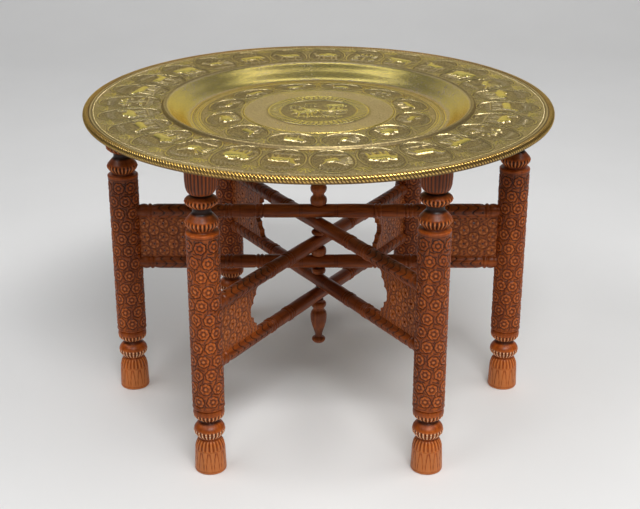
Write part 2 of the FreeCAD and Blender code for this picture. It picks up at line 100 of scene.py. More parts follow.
def new_piece(name, points, faces, tone=None, sharp=None):
    """A smooth-shaded mesh object from arrays, with the tone attribute that its material reads."""
    mesh = bpy.data.meshes.new(name)
    mesh.from_pydata(np.asarray(points, float).tolist(), [], faces)
    mesh.polygons.foreach_set("use_smooth", np.ones(len(mesh.polygons), bool))
    attribute = mesh.attributes.new("tone", "FLOAT", "POINT")
    values = np.full(len(points), 0.7) if tone is None else np.clip(np.ravel(tone), 0, 1)
    attribute.data.foreach_set("value", values.astype(np.float32))
    if sharp is not None:
        mesh.set_sharp_from_angle(angle=math.radians(sharp))
    mesh.validate()
    mesh.update()
    piece = bpy.data.objects.new(name, mesh)
    bpy.context.scene.collection.objects.link(piece)
    return piece


def grid_faces(rows, columns, closed_rows):
    """Quads of a grid whose columns wrap round, and whose rows wrap round too where asked."""
    row = np.arange(rows if closed_rows else rows - 1)[:, None]
    column = np.arange(columns)[None, :]
    next_row = (row + 1) % rows
    next_column = (column + 1) % columns
    corners = [row * columns + column, next_row * columns + column,
               next_row * columns + next_column, row * columns + next_column]
    return np.stack([np.broadcast_to(corner, (len(row), columns)) for corner in corners], -1).reshape(-1, 4)


def finish_piece(piece, body, slot, material, *nodes):
    """Give a piece its material and its body, and hide the CAD nodes that it stands for. The slot is not
    used.
    """
    piece.data.materials.append(material)
    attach(piece, body)
    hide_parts(*nodes)


def finish_tray(piece, material):
    """Finish a piece of the tray's brass."""
    finish_piece(piece, "tray", "tray_brass", material, "tray_sheet")


def beside_leg(leg, along, across, up):
    """Points in metres from millimetres in the upright plane through a leg and the stand's axis:
    along it from the axis, across it and up."""
    spot = middle_of(leg)
    heading = Vector((spot.x, spot.y, 0)).normalized()
    x = along * heading.x - across * heading.y
    y = along * heading.y + across * heading.x
    return np.stack([x, y, up], -1).reshape(-1, 3) * MM


def bump(distance, middle, width):
    """A smooth ridge across a distance."""
    return np.exp(-((distance - middle) / width) ** 2)


def smooth(value, low, high):
    """0 below low, 1 above high, smooth between."""
    share = np.clip((value - low) / (high - low), 0, 1)
    return share * share * (3 - 2 * share)


def band(value, low, inner_low, inner_high, high):
    """1 between the inner bounds, 0 outside the outer ones, smooth between."""
    return smooth(value, low, inner_low) * (1 - smooth(value, inner_high, high))


def blend(first, second, share):
    """The first value where share is 0, the second where it is 1."""
    return first * (1 - share) + share * second


def carve(depth, tone, pattern, cut, dark):
    """Cut a pattern into a surface and darken it there, in place."""
    depth += cut * pattern
    tone -= dark * pattern


def speckle(u, v, seed):
    """Cheap repeatable unevenness between -1 and 1 over two coordinates in millimetres."""
    first = np.sin(u * 1.31 + 1.7 * np.sin(v * 0.83 + seed))
    second = np.sin(v * 1.57 + 1.3 * np.sin(u * 1.07 - seed))
    third = np.sin((u + v) * 2.3 + np.sin((u - v) * 1.9 + seed))
    return (first * second + 0.5 * third) / 1.5


# ---- Chased figures: shapes in millimetres, u to the right and v upwards ----

def limb(u, v, shape):
    """Distance outside a tapered bar (x0, y0, x1, y1, r0, r1), and its mean radius."""
    x0, y0, x1, y1, r0, r1 = shape
    along_x, along_y = x1 - x0, y1 - y0
    length = max(along_x ** 2 + along_y ** 2, 1e-6)
    share = np.clip(((u - x0) * along_x + (v - y0) * along_y) / length, 0, 1)
    away = np.hypot(u - x0 - share * along_x, v - y0 - share * along_y)
    return away - (r0 + (r1 - r0) * share), (r0 + r1) / 2


def emboss(u, v, shapes, rise=0.95):
    """Height of a set of limbs beaten up from behind, each domed by its own thickness."""
    height = np.zeros_like(u)
    for shape in shapes:
        distance, radius = limb(u, v, shape)
        share = np.clip(-distance / radius, 0, 1)
        height = np.maximum(height, rise * math.sqrt(radius) * np.sqrt(share * (2 - share)))
    return height


def legs_of(places, ankle, hip):
    """Straight legs under an animal: each place is (hip x, hip y, foot x)."""
    return [(x, y, foot, -15, hip, ankle) for x, y, foot in places]


ELEPHANT = [
    (-6, 0, 4, 0, 8.6, 8.0), (11, 4.5, 11.5, 4, 5.6, 5.2), (15, 2.5, 18, -5, 2.2, 1.6),
    (18, -5, 16.5, -11, 1.6, 1.1), (8, 4.5, 8, 1, 3.0, 3.4), (14.5, 0, 19, -1.5, 0.8, 0.5),
    (-14, 3, -17, -6, 0.9, 0.7), (-3, 9.5, 3, 9.5, 2.2, 2.2),
] + legs_of([(-10, -5, -10.5), (-4.5, -6, -4), (3.5, -6, 3.5), (9, -4, 9.8)], 2.5, 2.7)

DEER = [
    (-9, 0, 7, 1, 5.4, 4.6), (8, 2, 13, 10, 3.2, 2.1), (13, 11, 18.5, 9.5, 2.5, 1.4),
    (12, 13, 8.5, 17, 0.8, 0.7), (8.5, 17, 8, 21, 0.7, 0.5), (9, 17, 12, 20, 0.6, 0.5),
    (14, 13, 15, 21, 0.8, 0.5), (14.5, 17, 17.5, 19.5, 0.6, 0.5), (-14, 3, -16.5, 5.5, 1.2, 0.8),
] + legs_of([(-11, -3, -14), (-8, -4, -6), (5, -4, 2.5), (8, -3, 12)], 1.1, 1.8)

TIGER = [
    (-9, 0, 8, 1.5, 5.2, 5.8), (14, 4, 14.5, 4, 4.9, 4.7), (17.5, 2.2, 19, 2, 2.3, 1.9),
    (11.5, 8.6, 12, 9, 1.3, 1.2), (15.5, 8.8, 16, 9, 1.3, 1.2), (-14, 2, -18, 7, 1.2, 1.0),
    (-18, 7, -14.5, 12, 1.0, 1.2),
] + legs_of([(-11, -3, -13), (-6, -3, -3), (6, -3, 5), (10, -3, 14)], 1.8, 2.4)

PEACOCK = [
    (-2, -1, 5, 2, 5.0, 4.2), (6, 3, 10, 12, 2.6, 1.5), (11, 13, 11.5, 13, 2.0, 1.9),
    (13, 13, 16, 12, 0.8, 0.4), (10, 16, 9.5, 19, 0.5, 0.8), (11.5, 16, 12, 19.5, 0.5, 0.8),
    (-5, 0, -19, -10, 1.4, 2.2), (-5, 1, -21, -4, 1.4, 2.2), (-5, 2, -21, 2.5, 1.4, 2.2),
    (-4, 3, -18, 8.5, 1.4, 2.2), (-3, 4, -13, 13, 1.3, 2.1), (1, -4, 0.5, -15, 0.9, 0.7),
    (4, -3, 4.8, -15, 0.9, 0.7),
]

CAMEL = [
    (-8, 1, 6, 1, 5.6, 5.2), (-3, 7, 0, 7.5, 4.2, 3.6), (9, 1, 13, 1.5, 2.8, 2.3),
    (13, 1.5, 15.5, 11, 2.3, 1.8), (15.5, 12, 20, 11, 2.1, 1.3), (-14, 3, -15.5, -4, 0.9, 0.7),
] + legs_of([(-11, -2, -12), (-7, -3, -6), (4, -3, 3), (8, -2, 10)], 1.2, 1.9)

HORSE = [
    (-8, 0, 7, 1.5, 5.5, 5.0), (8, 3, 13, 11.5, 3.7, 2.6), (13, 12, 18.5, 8.5, 2.5, 1.5),
    (12, 14.5, 12.5, 16.5, 0.9, 0.5), (7, 8, 10.5, 14, 1.3, 1.0), (-13, 2, -17.5, -8, 1.9, 1.3),
    (9, -2, 15, -5, 2.1, 1.4), (15, -5, 13.5, -11, 1.3, 1.0),
] + legs_of([(-11, -3, -13), (-6, -4, -7), (5, -4, 6)], 1.3, 2.1)

BULL = [
    (-9, 0, 7, 1, 6.0, 6.2), (7, 7, 8.5, 7.5, 3.4, 3.0), (12, 4, 16.5, 1.5, 3.8, 2.4),
    (13, 8, 11.5, 13.5, 0.9, 0.6), (15.5, 7.5, 18.5, 12, 0.9, 0.6), (10, -2, 12, -5.5, 2.3, 1.2),
    (-15, 3, -17.5, -8, 0.9, 1.1),
] + legs_of([(-11, -4, -12), (-6, -5, -5), (5, -4, 4.5), (9, -4, 10.5)], 1.7, 2.4)

TREE = [
    (0, -15, 0, 4, 1.9, 1.1), (0, -2, -7, 5, 1.0, 0.8), (0, 0, 7, 6, 1.0, 0.8),
    (-9, 6, -12, 8, 2.7, 2.2), (-5, 9, -6, 12, 2.8, 2.3), (0, 7, 0, 10, 3.0, 2.4),
    (5.5, 9, 6, 12.5, 2.8, 2.3), (10, 6, 13, 8, 2.7, 2.2), (-10, 1, -13, 1.5, 2.3, 1.8),
    (10, 1, 13, 1.5, 2.3, 1.8), (-13, -11, -8, -10, 2.2, 2.6), (-7, -9, -5.5, -6, 1.4, 1.1),
    (8, -10, 13, -11, 2.6, 2.2), (7, -9, 5.5, -6, 1.4, 1.1),
]

FIGURES = [ELEPHANT, DEER, TIGER, PEACOCK, CAMEL, HORSE, BULL, TREE]


def spray(turned):
    """Leaves on a stem that fills the space above a figure."""
    shapes = [(-15 * turned, 0.5, -5 * turned, 3.4, 0.7, 0.7), (-5 * turned, 3.4, 8 * turned, 3.0, 0.7, 0.6),
              (8 * turned, 3.0, 15 * turned, 0.0, 0.6, 0.5)]
    for step in range(-3, 4):
        stem_x = step * 4.6 * turned
        stem_y = 3.2 - 0.01225 * stem_x ** 2
        lean = 2.0 * turned
        shapes.append((stem_x, stem_y + 1.0, stem_x + lean, stem_y + 4.6, 1.3, 0.8))
        shapes.append((stem_x + 2.2, stem_y - 1.0, stem_x + 2.2 + lean, stem_y - 4.0, 1.2, 0.8))
    return shapes


def ground_line(width):
    """The uneven ground that a figure stands on, with tufts below it."""
    shapes = [(-width, -17.4, width, -17.4, 1.3, 1.3)]
    for step in range(-4, 5):
        foot = step * width / 4.6
        shapes.append((foot, -18.5, foot + (1.4 if step % 2 else -1.4), -23.0, 1.0, 0.8))
    return shapes


def palmette(count, spread, length, thick):
    """Leaves that fan upwards from a point."""
    shapes = []
    for step in range(count):
        share = step / (count - 1) - 0.5
        lean = math.radians(spread) * share
        reach = length * (1 - 0.7 * abs(share))
        shapes.append((math.sin(lean) * 1.5, math.cos(lean) * 1.5,
                       math.sin(lean) * reach, math.cos(lean) * reach, thick * 0.5, thick))
    return shapes


def move_shapes(shapes, x, y, scale=1.0, mirror=1):
    """A set of limbs moved, scaled and, where mirror is -1, turned to face the other way."""
    return [(mirror * x0 * scale + x, y0 * scale + y, mirror * x1 * scale + x, y1 * scale + y,
             r0 * scale, r1 * scale) for x0, y0, x1, y1, r0, r1 in shapes]


# ---- Relief of the tray ----

def oval_distance(u, v, half_width, half_height):
    """Distance outside an oval, negative inside it."""
    level = np.sqrt((u / half_width) ** 2 + (v / half_height) ** 2) + 1e-6
    slope = np.sqrt((u / half_width ** 2) ** 2 + (v / half_height ** 2) ** 2) / level + 1e-6
    return (level - 1) / slope


def ring_of(radius, angle, count, middle, phase):
    """Which of count equal places round the tray a point is nearest, and where it is from there:
    u round the tray and v away from its middle, in millimetres."""
    pitch = TURN / count
    number = np.round((angle - phase) / pitch)
    off = angle - phase - number * pitch
    return number.astype(int) % count, radius * np.sin(off), radius * np.cos(off) - middle


def oval_relief(radius, angle, count, middle, phase, half_width, half_height, scale, drop):
    """Height and tone of a ring of ovals, each with a double outline and a figure on sunk ground."""
    number, u, v = ring_of(radius, angle, count, middle, phase)
    distance = oval_distance(u, v, half_width, half_height)
    inside = smooth(-distance, 1.4, 3.0)
    height = 1.35 * bump(distance, -1.1, 0.85) + 0.65 * bump(distance, -4.0, 0.55)
    height -= 0.55 * bump(distance, -2.55, 0.6)
    tone = 0.44 - 0.04 * inside - 0.26 * bump(distance, 0.6, 0.6) - 0.24 * bump(distance, -2.6, 0.6)
    tone += 0.36 * bump(distance, -1.1, 0.8) + 0.14 * bump(distance, -4.0, 0.6)
    figure = np.zeros_like(height)
    for place in range(count):
        here = number == place
        if not here.any():
            continue
        kind = (place * 5 + 3) % len(FIGURES)
        mirror = 1 if (place * 7) % 3 else -1
        shapes = move_shapes(FIGURES[kind], 0, drop, scale, mirror)
        shapes += move_shapes(ground_line(15), 0, drop, scale)
        shapes += move_shapes(spray(mirror), 0, drop + 19.5 * scale, scale)
        if half_height > half_width:
            shapes += move_shapes(palmette(5, 120, 6.5, 1.3), 0, drop - 33 * scale, scale)
        figure[here] = emboss(u[here], v[here], shapes, 1.4)
    figure *= smooth(-distance, 4.2, 5.4)
    ground = 0.34 * speckle(u * 0.9, v * 0.9, 0.7) * inside * (figure < 0.05)
    height += figure + ground - 0.75 * inside
    tone += 0.46 * smooth(figure, 0.5, 3.2) - 0.26 * bump(figure, 0.14, 0.14) * inside + 0.75 * ground
    return height, tone, distance


def figured_band(radius, angle, count, phase, oval, outer, inner, seed, chase_rise, chase_tone):
    """Height and tone of a ring of ovals, with leaves in the corners between them and chasing over
    the rest. outer and inner are the leaves' place, out from the tray's middle, and their shapes."""
    height, tone, distance = oval_relief(radius, angle, count, oval[0], phase, *oval[1:])
    outside = smooth(distance, 0.0, 0.8)
    leaves = np.zeros_like(height)
    for (middle, shapes), side in ((outer, 1), (inner, -1)):
        _, u, v = ring_of(radius, angle, count, middle, phase + TURN / count / 2)
        leaves = np.maximum(leaves, emboss(u, v * side, shapes, 0.7))
    chase = speckle(radius * np.sin(angle) * 1.9, radius * np.cos(angle) * 1.9, seed) * outside
    height += leaves * outside + chase_rise * chase
    tone += 0.45 * smooth(leaves, 0.1, 0.9) * outside + chase_tone * chase
    return height, tone


def flange_relief(radius, angle):
    """Height above the flange and tone from the lip out to the rolled edge."""
    height, tone = figured_band(
        radius, angle, FLANGE_OVALS, FLANGE_PHASE, (241.5, 27.0, 41.2, 1.16, -2.0),
        (267.0, palmette(7, 150, 15.0, 1.35)), (216.0, palmette(5, 110, 12.0, 1.2)), 0.0, 0.34, 0.22)
    # rings at both edges
    border = smooth(radius, 284.0, 285.0)
    height, tone = blend(height, 0.1, border), blend(tone, 0.42, border)
    ridge = bump(radius, 290.4, 1.1)
    height += 0.15 * ridge - 0.8 * bump(radius, 288.6, 0.6) - smooth(radius, 291.4, 292.4)
    tone += 0.12 * ridge - 0.35 * bump(radius, 288.7, 0.6) - 0.4 * smooth(radius, 291.2, 292.2)
    hem = 1 - smooth(radius, 200.9, 201.4)
    return blend(height, 0, hem), blend(tone, 0.15, hem)


def well_level(radius):
    """Height of the plain section from the lip in to the flat ring, without relief."""
    lip = LIP_TOP / MM
    steps = [
        (0, RING_HEIGHT), (RING_RADIUS, RING_HEIGHT), (130, RING_HEIGHT - 2.6), (152, RING_HEIGHT - 4.2),
        (WELL_RADIUS - 3, WELL_FOOT + 0.3), (WELL_RADIUS + 1, WELL_FOOT + 0.9),
        (WELL_RADIUS + 6, WELL_FOOT + 4), (179, WELL_FOOT + 9.2),
        (186.5, WELL_FOOT + 14.4), (191.5, lip - 2.9), (194.2, lip - 1.5),
        (195.8, lip - 0.5), (196.9, lip - 0.05), (197.9, lip - 0.1), (198.9, lip - 1.2),
        (199.9, FLANGE + 0.7), (FLANGE_START, FLANGE - 0.5),
    ]
    return np.interp(radius, *zip(*steps))


def well_relief(radius, angle):
    """Height above the plain section and tone from the lip in to the plain ring."""
    height, tone = figured_band(
        radius, angle, FLOOR_OVALS, FLOOR_PHASE, (123.5, 31.2, 24.0, 0.86, -2.6),
        (131.5, palmette(7, 170, 14.5, 1.3)), (113.0, palmette(5, 120, 10.5, 1.1)), 2.0, 0.30, 0.20)
    # the figured band ends in fine rings, and the wall is plain
    plain = smooth(radius, 150.8, 151.8) + (1 - smooth(radius, 99.0, 100.0))
    height, tone = blend(height, 0, plain), blend(tone, 0.56, plain)
    for ring, rise in ((152.6, 0.6), (155.4, 0.5), (163.5, 0.55), (99.2, 0.6)):
        ridge = bump(radius, ring, 0.7)
        height += rise * ridge
        tone += 0.25 * (ridge - bump(radius, ring - 1.5, 0.7))
    rope = bump(radius, 159.2, 1.5)
    twist = np.sin(angle * 330 + radius * 1.2)
    height += rope * (0.45 + 0.3 * twist)
    tone += rope * (0.1 + 0.16 * twist)
    lip_twist = np.sin(angle * 480 + radius * 2.4)
    height += 0.2 * bump(radius, LIP_ROPE, 0.9) * lip_twist
    lip_tone = 0.26 + 0.17 * bump(radius, LIP_ROPE, 0.8) * (1 + lip_twist)
    tone = blend(tone, lip_tone, smooth(radius, 193.8, 195.2))
    wall = band(radius, WELL_RADIUS, WELL_RADIUS + 4, 192.0, 194.0)
    height += wall * 0.05 * np.sin(angle * 23 + np.sin(angle * 7) * 2) * np.sin(radius * 0.21 + angle * 5)
    return height, tone + 0.11 * wall


def circle(x, y, radius, sides, way=1):
    """Corners of a regular polygon, anticlockwise, or clockwise where way is -1."""
    turned = [way * TURN * side / sides for side in range(sides)]
    return [(x + radius * math.cos(angle), y + radius * math.sin(angle)) for angle in turned]


def wheel(x, y, radius):
    """A cart wheel with eight spokes."""
    rim = circle(x, y, radius, 20)
    shapes = [(*start, *end, 1.1, 1.1) for start, end in zip(rim, rim[1:] + rim[:1])]
    shapes += [(x, y, *end, 0.9, 0.7) for end in circle(x, y, radius, 8)]
    return shapes + [(x, y, x + 0.1, y, 2.2, 2.2)]


def scene_shapes():
    """The chased scene in the tray's middle: a pair of horses before a cart, with trees above."""
    shapes = move_shapes(HORSE, -20, -8, 0.95, -1) + move_shapes(HORSE, -9, 3, 0.85, -1)
    shapes += wheel(12, -12, 8.5) + wheel(28, -6, 8.0)
    shapes += [(6, -1, 36, 4, 2.6, 2.6), (14, 3, 12, 20, 1.2, 1.2), (30, 5, 31, 20, 1.2, 1.2),
               (9, 20, 35, 21, 2.6, 2.6), (13, 26, 31, 27, 3.4, 3.0), (22, 30, 22, 34, 1.2, 0.8),
               (18, 6, 20, 14, 3.4, 2.6), (26, 7, 26, 13, 3.0, 2.4), (-2, -6, 8, -3, 0.9, 0.9)]
    shapes += move_shapes(TREE, -30, 17, 0.62) + move_shapes(TREE, -10, 27, 0.6)
    shapes += move_shapes(ground_line(22), 0, -1.5, 1.35)
    return shapes


def middle_relief(radius, angle):
    """Height and tone of the flat ring and the medallion in the tray's middle."""
    u, v = radius * np.sin(angle), -radius * np.cos(angle)
    wreath = band(radius, 51.0, 52.5, 61.5, 63.0)
    leaf = np.abs(np.sin(angle * 28 + (radius - 57) * 0.05))
    height = wreath * (1.5 * np.sqrt(leaf) - 0.2)
    tone = blend(0.48, 0.32 + 0.5 * leaf ** 1.5, wreath)
    inner_ring = bump(radius, 50.0, 0.9)
    height += 1.4 * bump(radius, 64.2, 1.1) + 1.3 * inner_ring
    tone += 0.4 * bump(radius, 64.2, 1.0) + 0.4 * inner_ring
    scene = 1 - smooth(radius, 47.5, 48.8)
    figure = emboss(u, v, scene_shapes(), 1.0) * (1 - smooth(radius, 46.5, 48.0))
    height += scene * (figure - 0.8 + 0.1 * speckle(u * 1.6, v * 1.6, 3.0))
    tone += 0.6 * smooth(figure, 0.1, 1.6) - scene * 0.2
    ring = smooth(radius, 66.0, 67.5)
    height, tone = blend(height, 0, ring), blend(tone, 0.55, ring)
    edge = bump(radius, 96.4, 0.8)
    line = bump(radius, 67.2, 0.7)
    height += 0.5 * edge - 0.25 * line + ring * 0.05 * np.sin(radius * 1.4)
    tone += 0.2 * (edge - line)
    return height, tone


def round_angles(columns):
    """A row of even angles round a circle."""
    return (np.arange(columns) * TURN / columns)[None, :]


def place_round(radius, angle, height):
    """Points in metres from radius, angle and height in millimetres."""
    x = radius * np.sin(angle)
    y = -radius * np.cos(angle)
    return np.stack(np.broadcast_arrays(x, y, height), -1) * MM


def sheet_top(radii, columns, level, relief):
    """Radius, angle, height and tone all over a sheet's upper side. The height is level, a number or
    a function of the radii, with what relief(radius, angle) adds to it."""
    radius = radii[:, None]
    angle = round_angles(columns)
    height, tone = relief(radius + 0 * angle, angle + 0 * radius)
    return radius, angle, height + (level(radius) if callable(level) else level), tone


def sheet_ring(name, radii, columns, level, relief, material):
    """A closed ring of the tray's sheet: a relief above and a plainer side below."""
    radius, angle, height, tone = sheet_top(radii, columns, level, relief)
    under = np.linspace(0, len(radii) - 1, max(6, len(radii) // 8)).round().astype(int)[::-1]
    smoothed = height.mean(axis=1, keepdims=True) * 0.35 + height * 0.65
    under_height = np.minimum(smoothed[under], height[under]) - SHEET
    points = np.concatenate([place_round(radius, angle, height),
                             place_round(radius[under], angle, under_height)])
    tones = np.concatenate([tone, np.full(under_height.shape, UNDER_TONE)])
    faces = grid_faces(len(points), columns, True).tolist()
    finish_tray(new_piece(name, points.reshape(-1, 3), faces, tones), material)


def sheet_disc(name, radii, columns, level, relief, material):
    """A closed disc of the tray's sheet with a point in the middle of each side."""
    radius, angle, height, tone = sheet_top(radii, columns, level, relief)
    under_radius = radius[::-6]
    under_height = np.full((len(under_radius), columns), level - SHEET)
    points = np.concatenate([place_round(radius, angle, height),
                             place_round(under_radius, angle, under_height)])
    rows = len(points)
    middles = [[0, 0, height[0].mean() * MM], [0, 0, (level - SHEET) * MM]]
    faces = grid_faces(rows, columns, False).tolist()
    count = rows * columns
    last = count - columns
    for column in range(columns):
        after = (column + 1) % columns
        faces.append([count, column, after])
        faces.append([count + 1, last + after, last + column])
    tones = [tone.ravel(), np.full(under_height.size, UNDER_TONE), [tone[0].mean(), UNDER_TONE]]
    piece = new_piece(name, np.concatenate([points.reshape(-1, 3), middles]), faces, np.concatenate(tones))
    finish_tray(piece, material)


def make_sheets(material):
    """The wide rim with its ring of ovals, then the lip, wall and figured band of the well, then the
    plain ring and the medallion in the tray's middle."""
    radii = np.concatenate([np.linspace(FLANGE_START, 201.6, 3), np.linspace(202.4, 284.0, 98),
                            np.linspace(284.6, FLANGE_END, 18)])
    sheet_ring("tray_flange", radii, FLANGE_OVALS * 54, FLANGE, flange_relief, material)
    radii = np.concatenate([np.linspace(RING_RADIUS, 151.5, 66), np.linspace(152.2, 165.0, 20),
                            np.linspace(166.4, 192.0, 18), np.linspace(192.8, FLANGE_START, 18)])
    sheet_ring("tray_well", radii, FLOOR_OVALS * 72, well_level, well_relief, material)
    radii = np.concatenate([np.linspace(1.0, 50.0, 56), np.linspace(50.7, 66.5, 24),
                            np.linspace(68.0, 95.0, 10), np.linspace(95.6, RING_RADIUS, 5)])
    sheet_disc("tray_middle", radii, 448, RING_HEIGHT, middle_relief, material)


def make_roll(material):
    """The rolled edge: a tube with a cable twist along its upper and outer side, and painted shade on its
    underside.
    """
    twists = 440
    columns = twists * 6
    section = 24
    angle = round_angles(columns)
    around = round_angles(section).T
    facing = np.clip(1.15 * np.cos(around - math.radians(55)), 0, 1) ** 0.6
    spin = (around + math.pi) % TURN - math.pi
    twist = np.sin(angle * twists + spin * 4.2)
    cut = 0.7 * facing * (0.5 - 0.5 * twist)
    radius = ROLL_MIDDLE + (ROLL_RADIUS - cut) * np.cos(around)
    height = FLANGE + ROLL_RISE - ROLL_HALF + (ROLL_HALF - cut) * np.sin(around)
    # painted shade: the underside of the roll is made darker
    tone = 0.30 + facing * (0.10 + 0.50 * twist) - 0.2 * (np.sin(around) < -0.3)
    faces = grid_faces(section, columns, True)[:, ::-1]
    piece = new_piece("tray_roll", place_round(radius, angle, height).reshape(-1, 3), faces.tolist(), tone)
    finish_tray(piece, material)


def make_beads(material):
    """The ring of small beads punched up inside the groove."""
    count = 960
    middle = 286.6
    sides = 6
    steps = [(0.82, -0.2), (0.72, 0.18), (0.42, 0.4)]
    shape = np.array([(x, y, rise) for size, rise in steps for x, y in circle(0, 0, size, sides)]
                     + [(0, 0, 0.48), (0, 0, -0.25)])
    tips = len(steps) * sides
    local = grid_faces(len(steps), sides, False).tolist()
    for side in range(sides):
        after = (side + 1) % sides
        local.append([tips - sides + side, tips - sides + after, tips])
        local.append([after, side, tips + 1])
    points = []
    faces = []
    for number in range(count):
        angle = number * TURN / count
        outward = np.array([math.sin(angle), -math.cos(angle)])
        across = np.array([math.cos(angle), math.sin(angle)])
        flat = outward * (middle + shape[:, :1]) + across * shape[:, 1:2]
        points.append(np.column_stack([flat, FLANGE + shape[:, 2]]) * MM)
        faces += [[corner + number * len(shape) for corner in face] for face in local]
    piece = new_piece("tray_beads", np.concatenate(points), faces, np.full(count * len(shape), 0.45))
    finish_tray(piece, material)


# ---- Turned work ----

def bowed(low, high, foot, middle, head, count, bow):
    """Section points from low to high. The radius runs straight from foot to head where bow(share)
    is 0 and reaches middle where it is 1."""
    points = []
    for step in range(count + 1):
        share = step / count
        base = foot + (head - foot) * share
        points.append((base + (middle - base) * bow(share), low + (high - low) * share))
    return points


def swell(low, high, foot, widest, head, count, lean=0.5):
    """A turned bead, widest at lean of its height."""
    power = math.log(0.5) / math.log(lean)
    return bowed(low, high, foot, widest, head, count,
                 lambda share: math.sqrt(max(0.0, math.sin(math.pi * share ** power))) ** 1.1)


def cove(low, high, foot, narrowest, head, count):
    """A turned hollow."""
    return bowed(low, high, foot, narrowest, head, count, lambda share: math.sin(math.pi * share))


def resample(points, step):
    """Points at even steps along a section."""
    points = np.array(points, float)
    gaps = np.hypot(*np.diff(points, axis=0).T)
    along = np.concatenate([[0], np.cumsum(gaps)])
    keep = np.concatenate([[True], gaps > 1e-6])
    marks = np.linspace(0, along[-1], int(along[-1] / step) + 1)
    return np.stack([np.interp(marks, along[keep], points[keep, axis]) for axis in (0, 1)], -1)


def turned_points(section, columns, cut):
    """A section turned round Z, with cut(angle, height, radius) taken off along its outward normal.
    Returns points in millimetres and their tone."""
    slope = np.gradient(section, axis=0)
    length = np.hypot(slope[:, 0], slope[:, 1]) + 1e-9
    outward = slope[:, 1] / length
    upward = -slope[:, 0] / length
    angle = round_angles(columns)
    radius, height = section[:, :1], section[:, 1:]
    depth, tone = cut(angle + 0 * height, height + 0 * angle, radius + 0 * angle)
    shaped = radius - depth * outward[:, None]
    lifted = height - depth * upward[:, None]
    points = np.stack(np.broadcast_arrays(shaped * np.cos(angle), shaped * np.sin(angle), lifted), -1)
    return points, tone


def capped_faces(rows, columns):
    """Faces of a turned grid closed with one polygon at each end."""
    faces = grid_faces(rows, columns, False)[:, ::-1].tolist()
    faces.append(list(range(columns))[::-1])
    faces.append(list(range((rows - 1) * columns, rows * columns)))
    return faces


def plain_cut(angle, height, radius):
    """No carving."""
    return np.zeros_like(angle), np.full_like(angle, 0.75)


# ---- Legs ----

SHAFT_BOTTOM = 87.3
SHAFT_RADIUS = 20.0
ROSETTE_COLUMNS = 7
ROSETTE_PITCH = 18.0
FOOT = [(0.5, 0.0), (18.4, 0.0), (19.4, 0.6), (19.8, 2.6), (19.4, 8.0), (19.2, 16.0), (18.9, 25.0),
        (18.6, 31.5), (18.1, 34.5), (17.4, 37.5), (16.3, 40.0), (15.0, 42.2), (13.4, 43.6), (12.8, 44.6),
        (12.8, 45.6)]
LOW_BEAD = [(13.6, 46.6), (15.4, 48.0), (17.2, 50.0), (18.7, 52.2), (19.4, 54.2), (19.5, 55.8),
            (18.6, 59.6), (17.2, 62.0), (15.2, 64.2), (12.8, 66.2), (11.2, 67.4), (10.6, 69.0), (11.4, 70.4)]
COLLAR = [(13.8, 71.8), (16.4, 73.4), (18.0, 75.0), (19.0, 77.0), (19.3, 79.6), (19.2, 82.6), (18.7, 85.2),
          (17.8, 86.8), (17.2, 87.3), (18.6, 87.9), (SHAFT_RADIUS, 88.8)]
CAPITAL = [(SHAFT_RADIUS, -1.2), (18.9, -0.1), (15.4, 0.2), (14.5, 0.8), (14.4, 2.4), (14.8, 3.2),
           (17.0, 5.4), (18.9, 7.8), (20.0, 9.8), (20.2, 10.8), (20.0, 12.2), (18.9, 14.6), (16.6, 17.2),
           (14.2, 20.0),
           (12.0, 22.2), (10.9, 23.6), (10.7, 26.2), (10.9, 28.6), (12.4, 30.0), (15.6, 31.8), (18.2, 34.0),
           (19.8, 36.0), (20.1, 37.2), (19.7, 38.6), (18.2, 40.4), (15.6, 42.2), (13.0, 43.8), (11.8, 45.0),
           (12.2, 46.0), (14.6, 46.9), (16.2, 48.6), (17.3, 51.2), (18.2, 54.6)]


def leg_section(shaft_top):
    """Section of a leg from the middle of its foot to the middle of its top, in millimetres."""
    top = LEG_TOP / MM
    head = [(radius, shaft_top + rise) for radius, rise in CAPITAL]
    return FOOT + LOW_BEAD + COLLAR + head + [(18.9, shaft_top + 64.0), (19.2, top - 3.0), (19.2, top - 0.7),
                                              (18.6, top), (0.5, top)]


def rosettes(angle, height, low, high):
    """Depth and tone of the flowers carved in staggered rows up a leg's shaft."""
    across = SHAFT_RADIUS * TURN / ROSETTE_COLUMNS
    rows = max(1, round((high - low) / ROSETTE_PITCH))
    pitch = (high - low) / rows
    row = np.clip(np.floor((height - low) / pitch), 0, rows - 1)
    place = angle * ROSETTE_COLUMNS / TURN - (row % 2) * 0.5
    column = np.round(place)
    u = (place - column) * across - 0.7 * np.sin(column * 2.4 + row * 1.7)
    v = height - low - (row + 0.5) * pitch - 0.8 * np.sin(column * 1.3 + row * 2.9)
    away = np.hypot(u, v)
    bearing = np.arctan2(v, u)
    petals = np.abs(np.cos(bearing * 3 + row * 0.9 + column))
    scallop = np.abs(np.cos(bearing * 3.5 + row * 0.7 + column * 1.1))
    edge = 7.0 + 1.1 * scallop ** 0.7
    groove = bump(away, edge, 0.7)
    notch = (1 - petals) ** 2 * band(away, 3.0, 4.0, 5.4, 6.4)
    hollow = bump(away, 3.1, 0.65)
    lobe = bump(away, edge - 2.1, 1.0)
    outside = smooth(away, edge + 0.8, edge + 1.8)
    leaves = (0.5 + 0.5 * np.sin(bearing * 7 + away * 1.2 + row)) ** 3 * outside
    depth = 0.35 + 1.2 * groove + 0.7 * notch + 0.8 * hollow + 0.7 * leaves - 0.3 * lobe
    # painted highlight: a lighter ring inside each flower's outline and a lighter dot in its middle
    tone = 0.64 + 0.24 * lobe + 0.24 * (away < 1.6) + 0.02 * outside
    tone -= 0.50 * groove + 0.35 * notch + 0.42 * hollow + 0.48 * leaves
    window = band(height, low - 1.2, low, high, high + 1.2)
    return depth * window, blend(0.72, tone, window)


